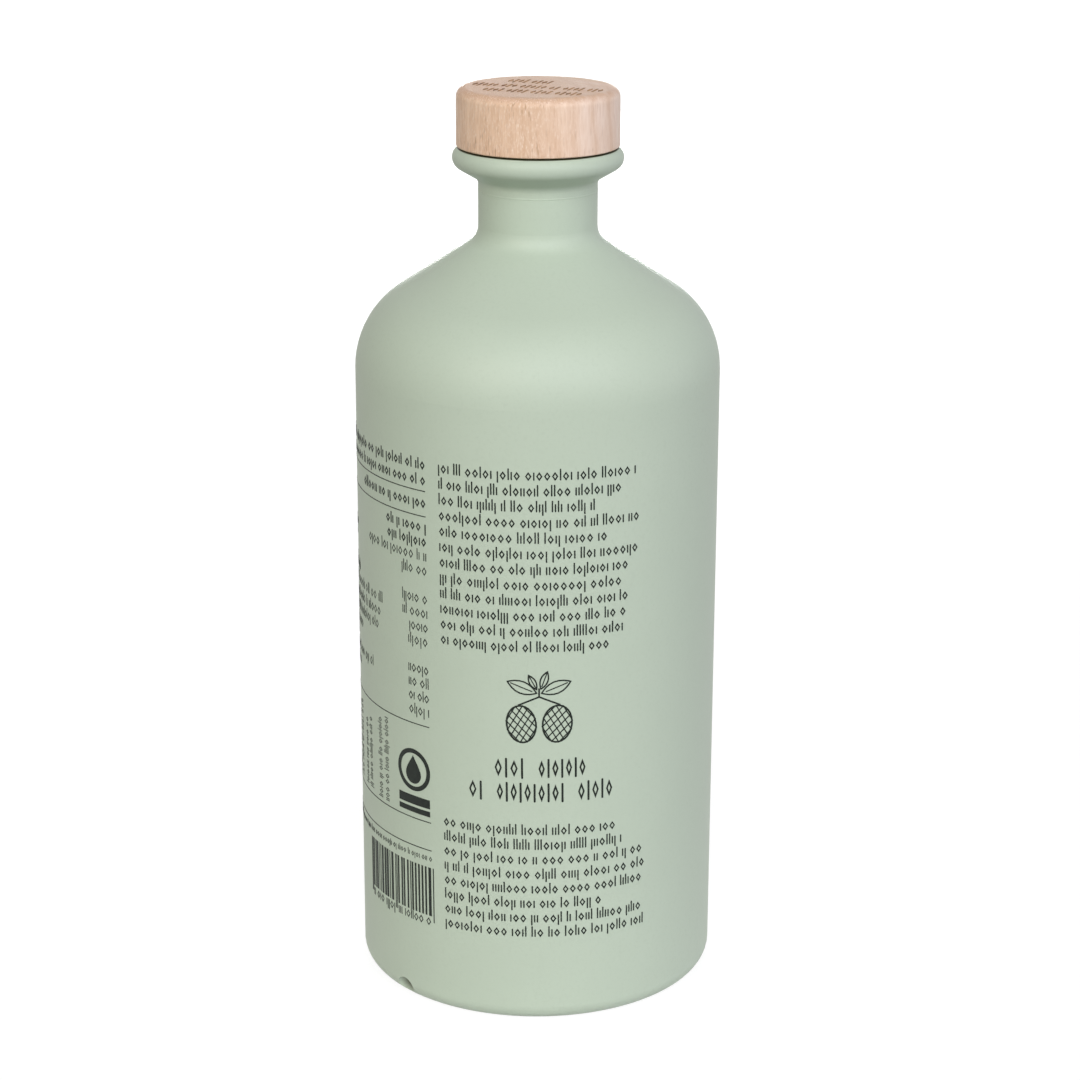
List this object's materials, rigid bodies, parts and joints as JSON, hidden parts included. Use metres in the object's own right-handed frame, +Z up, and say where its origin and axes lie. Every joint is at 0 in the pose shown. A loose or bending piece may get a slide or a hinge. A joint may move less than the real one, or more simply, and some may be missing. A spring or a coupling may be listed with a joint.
{
  "type": "olive oil bottle",
  "caption": "Shut apothecary bottle of olive oil with a matt coloured coat, a round lip and a turned wooden stopper head, standing on a flat base ring.",
  "frame": {"origin": "centre of the base ring, in the plane that the bottle stands on", "axes": "+Z up along the bottle's axis; -Y out of the printed front"},
  "size_m": [0.0764, 0.0764, 0.1919],
  "materials": {
    "coated_glass": "glass under an opaque, smooth matt sage-green spray coat",
    "beech": "sanded pale beech, unvarnished",
    "print": "dark green-black screen-printed ink, satin",
    "bare_glass": "dark olive glass left bare of the coat"
  },
  "bodies": {
    "root": {"bottle": "coated_glass", "stopper_head": "beech"}
  },
  "joints": []
}
